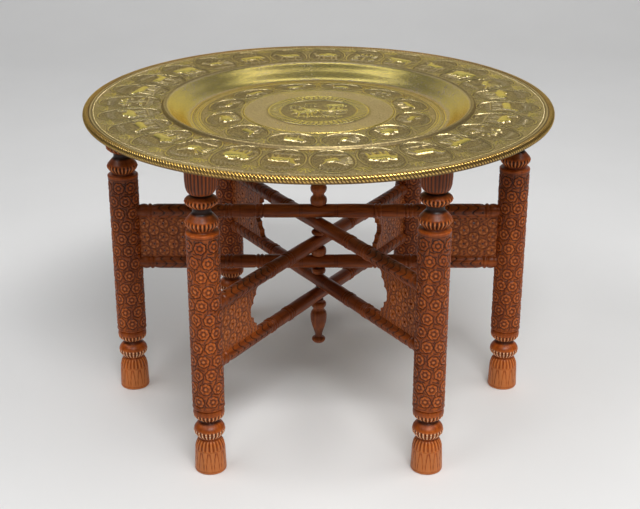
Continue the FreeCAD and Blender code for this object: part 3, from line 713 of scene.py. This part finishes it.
def flutes(angle, count, sharpness):
    """1 along the bottom of each of count grooves round a turning, falling to 0 between them."""
    return np.abs(np.cos(angle * count / 2)) ** sharpness


def leg_cut(shaft_top):
    """The carving on a leg with its shaft ending at shaft_top."""

    def cut(angle, height, radius):
        depth, tone = rosettes(angle, height, SHAFT_BOTTOM + 4.5, shaft_top - 6.5)
        shaft = band(height, SHAFT_BOTTOM, SHAFT_BOTTOM + 1, shaft_top - 1, shaft_top)
        depth, tone = depth * shaft, blend(0.78, tone, shaft)
        # the edges at both ends of the shaft are rubbed pale
        tone += 0.18 * (bump(height, shaft_top - 0.9, 0.9) + 0.4 * bump(height, SHAFT_BOTTOM + 1.6, 0.9))
        # a turned line near each end of the shaft
        for line in (SHAFT_BOTTOM + 3.2, shaft_top - 4.6):
            carve(depth, tone, bump(height, line, 0.5), 0.55, 0.4)
        # ribs round each bead from just above its widest line down to its foot, lightened as a painted
        # highlight, with painted shade on the bead's slope above them
        for low, high in ((shaft_top + 3.4, shaft_top + 14.8), (shaft_top + 31.0, shaft_top + 40.6),
                          (47.2, 58.6), (71.6, 81.0)):
            window = band(height, low - 0.6, low + 0.8, high - 2.0, high + 0.2)
            carve(depth, tone, flutes(angle, 24, 2.4) * window, 1.7, 1.0)
            # painted highlight on the ribs, painted shade on the slope above them
            tone += 0.34 * window - 0.22 * bump(height, high + 3.2, 3.0)
        # the fluted cup
        rim = LEG_TOP / MM - 2.2
        window = band(height, shaft_top + 46.9, shaft_top + 49.4, rim - 1.2, rim)
        carve(depth, tone, flutes(angle, 26, 2.2) * window, 1.0, 0.52)
        tone += 0.06 * window
        # short cuts over the shoulder of the foot, and faint leaves below them
        window = band(height, 31.0, 33.0, 42.6, 43.6)
        carve(depth, tone, flutes(angle, 22, 4) * window, 1.0, 0.40)
        share = np.clip((height - 4) / 26, 0, 1)
        edge = bump(np.abs(np.cos(angle * 6)), 0.35 + 0.6 * share, 0.09)
        carve(depth, tone, edge * band(height, 3.4, 4.6, 28.5, 30.0), 0.55, 0.28)
        for line in (3.4, 30.6, 54.9):
            carve(depth, tone, bump(height, line, 0.45), 0.35, 0.22)
        # painted shade: dark in the necks between the turnings and in the recess at the shaft's top
        shaded_neck = (1 - smooth(radius, 11.5, 14.5)) * (height > 40) * (height < LEG_TOP / MM - 5)
        tone -= 0.5 * shaded_neck + 0.3 * bump(height, shaft_top + 1.4, 1.5)
        # painted shade: darker towards the top, under the tray, and painted light: lighter at the foot
        tone -= 0.13 * smooth(height, shaft_top - 60, shaft_top) - 0.14 * (1 - smooth(height, 40, 90))
        return depth, tone

    return cut


def make_legs(material):
    """All the legs, each turned and carved, standing where the frame has them."""
    columns = 144
    for body, names in LEGS.items():
        for name in names:
            shaft_top = LEG_TOP / MM - CAPITALS.get(name, SHORT_CAPITAL)
            section = resample(leg_section(shaft_top), 0.9)
            points, tone = turned_points(section, columns, leg_cut(shaft_top))
            out = middle_of(name).xy.length / MM
            placed = beside_leg(name, points[..., 0] + out, points[..., 1], points[..., 2])
            piece = new_piece(f"{name}_carved", placed, capped_faces(len(section), columns), tone, 50)
            finish_piece(piece, body, "leg_wood", material, name)


# ---- Rails and panels ----

RAIL_RADIUS = 8.9
RAIL_HALF = 242.0
PANEL_INNER = 149.0
PANEL_APEX = 168.0
PANEL_OUTER = 242.3
PANEL_HALF_THICK = 4.0
HOLE_RADIUS = 1.6
FOILS = 3


def half_rail_section():
    """Section of one half of a rail, as (radius, distance from the middle)."""
    inner, outer = ([point for ring in pair for point in swell(ring - 2.3, ring + 2.3, 8.2, 9.9, 8.2, 8)]
                    for pair in ((76.2, 81.4), (117.8, 123.0)))
    points = [(9.05, 0.0), (9.05, 12.0), (9.15, 22.0), (9.4, 42.0), (9.3, 60.0), (9.2, 72.0), (8.0, 73.4)]
    points += inner + [(8.0, 84.4), (8.9, 86.4), (9.2, 100.0), (9.0, 113.4), (8.0, 115.0)] + outer
    points += [(8.0, 126.0), (9.0, 128.0), (9.4, 136.0), (9.4, 214.0), (8.6, 219.0), (7.9, 221.0)]
    points += swell(221.6, 226.6, 8.2, 9.8, 8.2, 8)
    return points + swell(227.4, 237.0, 8.2, 9.5, 8.4, 8) + [(8.4, RAIL_HALF)]


def rail_cut(angle, along, radius):
    """Overlapping leaves carved along the outer stretches of a rail, with lines across it."""
    away = np.abs(along)
    stretch = band(away, 129.0, 131.0, 218.0, 220.0)
    lobe = away / 13.0 + 0.28 * np.cos(angle * 4)
    edge = np.abs(lobe - np.round(lobe))
    groove = (1 - smooth(edge, 0.03, 0.13)) * stretch
    vein = (1 - smooth(np.abs(np.sin(angle * 2)), 0.04, 0.16)) * stretch * (0.5 + 0.5 * np.sin(away * 1.3))
    depth = 0.85 * groove + 0.6 * vein
    tone = 0.74 - 0.6 * groove - 0.4 * vein
    for line in (22.0, 25.0, 104.0, 176.0):
        carve(depth, tone, bump(away, line, 0.5), 0.4, 0.35)
    return depth, tone


def make_rails(material):
    """All the rails, turned and carved, through the middle of the frame's own rails."""
    columns = 48
    half = half_rail_section()
    section = resample([(radius, -along) for radius, along in half[::-1]] + half[1:], 0.9)
    points, tone = turned_points(section, columns, rail_cut)
    faces = [face[::-1] for face in capped_faces(len(section), columns)]
    for body, names in RAILS.items():
        for name in names:
            up = points[..., 0] + middle_of(name).z / MM
            placed = beside_leg(LEGS[body][0], points[..., 2], points[..., 1], up)
            piece = new_piece(f"{name}_turned", placed, faces, tone, 50)
            finish_piece(piece, body, "rail_wood", material, name)


def arc_points(start, end, radius, count):
    """Points of the short arc from start to end, bulging to the left of that direction."""
    start, end = np.array(start, float), np.array(end, float)
    chord = end - start
    half = np.hypot(*chord) / 2
    normal = np.array([-chord[1], chord[0]]) / (2 * half)
    centre = (start + end) / 2 - normal * math.sqrt(radius ** 2 - half ** 2)
    first = math.atan2(*(start - centre)[::-1])
    sweep = -2 * math.asin(half / radius)
    turned = first + sweep * np.arange(count) / count
    return [tuple(centre + radius * np.array([math.cos(t), math.sin(t)])) for t in turned]


def panel_outline(low, high):
    """Outline of a panel, as (distance from the stand's axis, height), clockwise from its inner foot."""
    middle = (low + high) / 2
    half = (high - low) / 2 - RAIL_RADIUS
    reach = PANEL_APEX - PANEL_INNER
    chord = math.hypot(reach, half) / FOILS
    corners = [(PANEL_APEX - reach * abs(step) / FOILS, middle + half * step / FOILS)
               for step in range(-FOILS, FOILS + 1)]
    outline = [(PANEL_INNER, low + 5)]
    for start, end in zip(corners, corners[1:]):
        outline += arc_points(end, start, chord * 0.62, 7)[::-1]
    outline = [outline[0], corners[0]] + outline[1:] if outline[1] != corners[0] else outline
    outline += [corners[-1], (PANEL_INNER, high - 5)]
    stretch = [PANEL_INNER + (PANEL_OUTER - PANEL_INNER) * share / 9 for share in range(1, 10)]
    outline += [(place, high - 5) for place in stretch] + [(place, low + 5) for place in stretch[::-1]]
    cleaned = []
    for point in outline:
        if not cleaned or math.dist(point, cleaned[-1]) > 0.05:
            cleaned.append(point)
    return cleaned


def panel_holes(low, high):
    """Middles of the holes in a panel, in staggered columns."""
    middle = (low + high) / 2
    return [(232.7 - 12.7 * column, middle + 19.5 * row) for column in range(5)
            for row in ((-0.5, 0.5) if column % 2 else (-1, 0, 1))]


def clear_of(x, y, holes, gap):
    """Whether a point is at least a gap away from the middle of every hole."""
    return all(math.hypot(x - hole_x, y - hole_y) > gap for hole_x, hole_y in holes)


def inside_outline(x, y, outline):
    """Whether a point lies inside a closed outline."""
    inside = False
    for (x0, y0), (x1, y1) in zip(outline, outline[1:] + outline[:1]):
        if (y0 > y) != (y1 > y) and x < x0 + (y - y0) / (y1 - y0) * (x1 - x0):
            inside = not inside
    return inside


def panel_relief(u, v, holes):
    """How far a panel's face is carved back, and its tone: a flower round each hole."""
    nearest = np.full_like(u, 1e9)
    bearing = np.zeros_like(u)
    for x, y in holes:
        away = np.hypot(u - x, v - y)
        closer = away < nearest
        nearest = np.where(closer, away, nearest)
        bearing = np.where(closer, np.arctan2(v - y, u - x), bearing)
    notch = (1 - np.abs(np.cos(bearing * 2.5))) ** 1.6 * band(nearest, 2.6, 3.6, 5.6, 6.6)
    ring = bump(nearest, 7.4, 0.7)
    outside = smooth(nearest, 8.0, 8.8)
    leaves = (0.5 + 0.5 * np.sin(u * 0.9 + 1.8 * np.sin(v * 0.55)) * np.sin(v * 0.8)) ** 2 * outside
    lobe = bump(nearest, 5.4, 0.9)
    depth = 0.15 + 0.8 * (notch + ring + leaves)
    tone = 0.80 + 0.16 * lobe - 0.45 * notch - 0.55 * ring - 0.6 * leaves - 0.5 * bump(nearest, 2.2, 0.5)
    return depth, tone


def panel_mesh(low, high):
    """Points and faces of a pierced, carved panel lying in the plane of its frame: columns are the
    distance from the stand's axis, the offset from the frame's plane and the height, in millimetres."""
    outline = panel_outline(low, high)
    holes = panel_holes(low, high)
    loops = [outline] + [circle(x, y, HOLE_RADIUS, 14, -1) for x, y in holes]
    flat = [point for loop in loops for point in loop]
    edges = []
    start = 0
    for loop in loops:
        edges += [(start + step, start + (step + 1) % len(loop)) for step in range(len(loop))]
        start += len(loop)
    pitch = 1.15
    fill = []
    for row in range(int((high - low) / pitch)):
        for column in range(int((PANEL_OUTER - PANEL_INNER) / pitch)):
            x = PANEL_INNER + pitch * (column + 0.5 * (row % 2)) + 0.4
            y = low + 5.5 + pitch * row
            if y < high - 5.5 and clear_of(x, y, holes, 2.4):
                fill.append((x, y))
    result = delaunay_2d_cdt([Vector(point) for point in flat + fill], edges, [], 1, 1e-5)
    spots = np.array([tuple(point) for point in result[0]])
    triangles = []
    for face in result[2]:
        x, y = spots[list(face)].mean(axis=0)
        if inside_outline(x, y, outline) and clear_of(x, y, holes, HOLE_RADIUS - 0.1):
            triangles.append(list(face))
    depth, tone = panel_relief(spots[:, 0], spots[:, 1], holes)
    sides = [side for face in triangles for side in zip(face, face[1:] + face[:1])]
    known = set(sides)
    rim = [side for side in sides if side[::-1] not in known]
    depth[[first for first, second in rim]] = 0.35
    face_offset = PANEL_HALF_THICK - depth
    front = np.column_stack([spots[:, 0], face_offset, spots[:, 1]])
    back = np.column_stack([spots[:, 0], -face_offset, spots[:, 1]])
    total = len(spots)
    faces = [face[::-1] for face in triangles] + [[index + total for index in face] for face in triangles]
    faces += [[first, second, second + total, first + total] for first, second in rim]
    return np.concatenate([front, back]), faces, np.concatenate([tone, tone])


def make_panels(material):
    """All the pierced panels, between the rails of each frame."""
    for body, names in LEGS.items():
        high, low = (middle_of(rail).z / MM for rail in RAILS[body])
        points, faces, tone = panel_mesh(low, high)
        for name in names:
            node = name.replace("leg_", "panel_")
            piece = new_piece(f"{node}_carved", beside_leg(name, *points.T), faces, tone, 40)
            finish_piece(piece, body, "panel_wood", material, node)


# ---- Spindle ----

def make_spindle_piece(name, section, material):
    """A turned piece on the spindle that stands for the CAD node of that name."""
    section = resample(section, 0.6)
    points, tone = turned_points(section, 48, plain_cut)
    shade = 1 - 0.35 * (1 - smooth(section[:, :1] + 0 * tone, 5.0, 9.0))
    faces = capped_faces(len(section), 48)
    piece = new_piece(f"{name}_turned", points.reshape(-1, 3) * MM, faces, tone * shade, 45)
    finish_piece(piece, "frame_one", "spindle_wood", material, name)


def make_spindle(material):
    """Finials and spacers."""
    low, high = (corner.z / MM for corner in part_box("top_finial"))
    section = [(4.2, low), (8.6, low), (10.0, low + 0.8)]
    section += swell(low + 1.2, low + 11.0, 9.6, 11.2, 9.6, 10)
    section += [(9.0, low + 11.4)] + cove(low + 11.8, low + 17.4, 8.6, 7.4, 8.8, 6)
    section += swell(low + 17.6, high - 0.6, 8.6, 11.0, 4.0, 14, 0.44) + [(2.4, high - 0.1), (0.4, high)]
    make_spindle_piece("top_finial", section, material)

    low, high = (corner.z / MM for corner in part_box("bottom_finial"))
    drop = high - low
    section = [(0.4, low), (3.0, low + 0.3)]
    section += swell(low + 0.8, low + drop * 0.15, 4.6, 9.3, 5.4, 12, 0.56)
    section += cove(low + drop * 0.155, low + drop * 0.23, 5.4, 5.0, 5.2, 5)
    section += [(radius, low + drop * share) for radius, share in (
        (6.6, 0.30), (8.8, 0.40), (10.6, 0.50), (11.2, 0.58), (11.2, 0.66), (10.4, 0.715), (9.0, 0.745))]
    section += cove(low + drop * 0.75, low + drop * 0.83, 8.4, 7.6, 8.6, 5)
    section += swell(low + drop * 0.835, low + drop * 0.95, 8.8, 10.5, 8.4, 8)
    section += [(7.0, low + drop * 0.965), (6.7, high), (4.2, high)]
    make_spindle_piece("bottom_finial", section, material)

    for name in ("upper_spacer", "middle_spacer", "lower_spacer"):
        low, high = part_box(name)
        widest = (high.x - low.x) / 2 / MM
        low, high = low.z / MM, high.z / MM
        section = [(4.2, low), (widest * 0.78, low)]
        section += swell(low + 0.2, high - 0.2, widest * 0.8, widest, widest * 0.8, 10)
        section += [(widest * 0.78, high), (4.2, high)]
        make_spindle_piece(name, section, material)


# ---- Materials ----

class Nodes:
    """Short ways to build one material's node tree."""

    def __init__(self, name):
        self.material = bpy.data.materials.new(name)
        self.material.use_nodes = True
        self.tree = self.material.node_tree
        self.shader = self.tree.nodes["Principled BSDF"]
        self.place = self.add("ShaderNodeTexCoord").outputs["Object"]

    def add(self, kind, **settings):
        node = self.tree.nodes.new(kind)
        for key, value in settings.items():
            setattr(node, key, value)
        return node

    def fill(self, node, **values):
        """Set a node's inputs, or link other nodes' outputs to them. _ stands for a space."""
        for key, value in values.items():
            target = node.inputs[key.replace("_", " ")]
            if isinstance(value, bpy.types.NodeSocket):
                self.tree.links.new(value, target)
            else:
                target.default_value = value
        return node

    def tone(self):
        return self.add("ShaderNodeAttribute", attribute_name="tone").outputs["Fac"]

    def noise(self, scale, detail=3.0, stretch=(1, 1, 1), roughness=0.5):
        mapping = self.fill(self.add("ShaderNodeMapping"), Scale=stretch, Vector=self.place)
        noise = self.fill(self.add("ShaderNodeTexNoise"), Scale=scale, Detail=detail, Roughness=roughness,
                          Vector=mapping.outputs["Vector"])
        return noise.outputs["Fac"]

    def ramp(self, source, stops):
        ramp = self.add("ShaderNodeValToRGB")
        elements = ramp.color_ramp.elements
        while len(elements) < len(stops):
            elements.new(0.5)
        for element, (position, colour) in zip(elements, stops):
            element.position = position
            element.color = (*colour, 1)
        return self.fill(ramp, Fac=source).outputs["Color"]

    def spread(self, source, low, high, out_low, out_high):
        node = self.fill(self.add("ShaderNodeMapRange"), From_Min=low, From_Max=high, To_Min=out_low,
                         To_Max=out_high, Value=source)
        return node.outputs["Result"]

    def total(self, first, second):
        node = self.add("ShaderNodeMath", operation="ADD")
        for socket, value in zip(node.inputs, (first, second)):
            self.tree.links.new(value, socket)
        return node.outputs["Value"]

    def mix(self, share, first, second, blend="MIX"):
        node = self.add("ShaderNodeMix", data_type="RGBA", blend_type=blend)
        for socket, value in ((node.inputs[0], share), (node.inputs[6], first), (node.inputs[7], second)):
            if isinstance(value, tuple):
                socket.default_value = (*value, 1)
            else:
                self.tree.links.new(value, socket)
        return node.outputs[2]

    def bump(self, height, strength, distance):
        node = self.fill(self.add("ShaderNodeBump"), Strength=strength, Distance=distance, Height=height)
        self.fill(self.shader, Normal=node.outputs["Normal"])


def brass(name, tint, warmth):
    """Old brass: a dull greyish brown film in the ground, rubbed bright on whatever stands up."""
    nodes = Nodes(name)
    tone = nodes.tone()
    drift = nodes.noise(9, 3)
    grit = nodes.noise(420, 2)
    film = nodes.total(tone, nodes.spread(drift, 0.3, 0.7, -0.07, 0.07))
    film = nodes.total(film, nodes.spread(grit, 0.3, 0.7, -0.09, 0.09))
    colour = nodes.ramp(film, [
        (0.0, (0.075, 0.052, 0.026)), (0.20, (0.22, 0.170, 0.090)), (0.42, (0.47, 0.385, 0.175)),
        (0.56, (0.68, 0.58, 0.41)), (0.64, (0.76, 0.64, 0.24)), (0.82, (0.95, 0.81, 0.22)),
        (1.0, (0.98, 0.91, 0.42)),
    ])
    warm = nodes.spread(nodes.noise(5, 2), 0.3, 0.7, warmth, min(1.0, warmth + 0.5))
    colour = nodes.mix(warm, colour, tint, "MULTIPLY")
    nodes.fill(nodes.shader, Base_Color=colour, Roughness=nodes.spread(film, 0.1, 0.62, 0.50, 0.26),
               Metallic=nodes.spread(film, 0.1, 0.45, 0.55, 1.0), Specular_Tint=(0.95, 0.80, 0.45, 1))
    nodes.bump(nodes.noise(650, 2), 0.25, 0.0004)
    return nodes.material


def wood(name, light, dark, grain_along=(1, 1, 0.08)):
    """Polished reddish hardwood: grain along the piece, dark where the cuts hold old polish and where shade
    is painted, orange to pale where wear is rubbed and highlights are painted.
    """
    nodes = Nodes(name)
    tone = nodes.tone()
    grain = nodes.noise(260, 4, grain_along, 0.6)
    broad = nodes.noise(28, 3, grain_along)
    body = nodes.mix(nodes.spread(grain, 0.35, 0.68, 0.0, 1.0), dark, light)
    body = nodes.mix(nodes.spread(broad, 0.42, 0.66, 0.0, 0.55), body, tuple(part * 0.5 for part in dark))
    # dark where the tone is low: old polish in the cuts, and painted shade
    depth = nodes.spread(tone, 0.14, 0.78, 0.0, 1.0)
    colour = nodes.mix(depth, (0.022, 0.007, 0.0035), body)
    # orange, then pale, where the tone is high: rubbed wear and painted highlight
    rubbed_and_highlight = nodes.spread(tone, 0.76, 0.97, 0.0, 0.7)
    colour = nodes.mix(rubbed_and_highlight, colour, (0.72, 0.26, 0.075))
    worn_and_highlight = nodes.spread(tone, 0.97, 1.0, 0.0, 0.9)
    colour = nodes.mix(worn_and_highlight, colour, (0.85, 0.56, 0.35))
    nodes.fill(nodes.shader, Base_Color=colour, Roughness=nodes.spread(grain, 0.3, 0.7, 0.32, 0.46),
               Specular_IOR_Level=0.22, Coat_Weight=0.05, Coat_Roughness=0.2)
    nodes.bump(grain, 0.18, 0.0004)
    return nodes.material


def iron():
    """Plain dull iron."""
    nodes = Nodes("iron")
    mottled = nodes.noise(180, 3)
    colour = nodes.ramp(mottled, [(0.3, (0.12, 0.11, 0.10)), (0.7, (0.34, 0.32, 0.30))])
    nodes.fill(nodes.shader, Base_Color=colour, Roughness=nodes.spread(mottled, 0.3, 0.7, 0.35, 0.6),
               Metallic=1.0)
    nodes.bump(mottled, 0.2, 0.0003)
    return nodes.material


# ---- Stage, lights and camera ----

def make_stage():
    """A pale floor that curves up into a pale backdrop."""
    profile = [(-3.0, 0.0), (1.0, 0.0), (1.9, 0.0)]
    for step in range(1, 13):
        turned = math.pi / 2 * step / 12
        profile.append((1.9 + 1.1 * math.sin(turned), 1.1 - 1.1 * math.cos(turned)))
    profile.append((3.0, 5.0))
    width = 5.0
    points = []
    for y, z in profile:
        points += [(-width, y, z), (width, y, z)]
    faces = [[2 * row, 2 * row + 1, 2 * row + 3, 2 * row + 2] for row in range(len(profile) - 1)]
    stage = new_piece("stage", points, faces)
    nodes = Nodes("pale_stage")
    colour = nodes.ramp(nodes.noise(3), [(0.3, (0.80, 0.80, 0.80)), (0.7, (0.83, 0.83, 0.83))])
    nodes.fill(nodes.shader, Base_Color=colour, Roughness=0.7)
    stage.data.materials.append(nodes.material)


def add_area(name, place, target, size, power, colour=(1, 1, 1)):
    """A soft area light that faces a point."""
    light = bpy.data.lights.new(name, "AREA")
    light.shape = "RECTANGLE"
    light.size, light.size_y = size
    light.energy = power
    light.color = colour
    lamp = bpy.data.objects.new(name, light)
    lamp.location = place
    lamp.rotation_euler = (Vector(target) - Vector(place)).to_track_quat("-Z", "Y").to_euler()
    bpy.context.scene.collection.objects.link(lamp)


def make_lights():
    """A long softbox high on each side, a brighter one in front, one on the backdrop, a dim room."""
    target = (0, -0.1, 0.2)
    add_area("softbox_left", (-1.5, -0.6, 2.5), target, (2.4, 0.5), 24)
    add_area("softbox_right", (1.5, -0.6, 2.5), target, (2.4, 0.5), 28, (1.0, 0.985, 0.96))
    add_area("softbox_front", (0.4, -2.0, 2.8), target, (1.3, 0.7), 64)
    add_area("backdrop_lamp", (0, 1.0, 3.4), (0, 3.0, 1.2), (3.0, 0.6), 14)
    world = bpy.data.worlds.new("room")
    world.use_nodes = True
    bpy.context.scene.world = world
    tree = world.node_tree
    place = tree.nodes.new("ShaderNodeTexCoord")
    split = tree.nodes.new("ShaderNodeSeparateXYZ")
    shade = tree.nodes.new("ShaderNodeMapRange")
    for key, value in (("From Min", 0.1), ("From Max", 1.0), ("To Min", 0.02), ("To Max", 0.09)):
        shade.inputs[key].default_value = value
    tree.links.new(place.outputs["Generated"], split.inputs["Vector"])
    tree.links.new(split.outputs["Z"], shade.inputs["Value"])
    tree.links.new(shade.outputs["Result"], tree.nodes["Background"].inputs["Strength"])
    tree.nodes["Background"].inputs["Color"].default_value = (0.97, 0.985, 1.0, 1)
    bpy.context.scene.view_settings.view_transform = "Standard"


def make_camera():
    """The camera, at a distance and height that are multiples of the tray's plain radius."""
    camera = bpy.data.cameras.new("camera")
    camera.sensor_width = 36.0
    camera.lens = 73.3
    camera.shift_x = 0.0022
    view = bpy.data.objects.new("camera", camera)
    plain_radius = 0.3
    view.location = (0, -5.409 * plain_radius, 2.910 * plain_radius)
    view.rotation_euler = (math.radians(90 - 22.636), 0, 0)
    bpy.context.scene.collection.objects.link(view)
    bpy.context.scene.camera = view


# ---- Everything ----

make_camera()
make_stage()
make_lights()

tray_metal = brass("old_brass", (1.0, 0.88, 0.70), 0.0)
rim_metal = brass("coppery_brass", (0.95, 0.68, 0.40), 0.6)
make_sheets(tray_metal)
make_roll(rim_metal)
make_beads(tray_metal)

make_legs(wood("leg_wood", (0.56, 0.125, 0.014), (0.30, 0.056, 0.007)))
# the rails' wood is darker than the legs': partly a darker wood, partly painted shade from the tray above
make_rails(wood("rail_wood", (0.40, 0.090, 0.012), (0.17, 0.034, 0.006), (0.08, 0.08, 1)))
make_panels(wood("panel_wood", (0.56, 0.14, 0.016), (0.30, 0.062, 0.008)))
make_spindle(wood("spindle_wood", (0.42, 0.105, 0.020), (0.20, 0.045, 0.010)))

plain_iron = iron()
for node in ("rim_wire", "pivot_rod", "rod_nuts"):
    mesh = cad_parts[node].data
    mesh.materials.clear()
    mesh.materials.append(plain_iron)
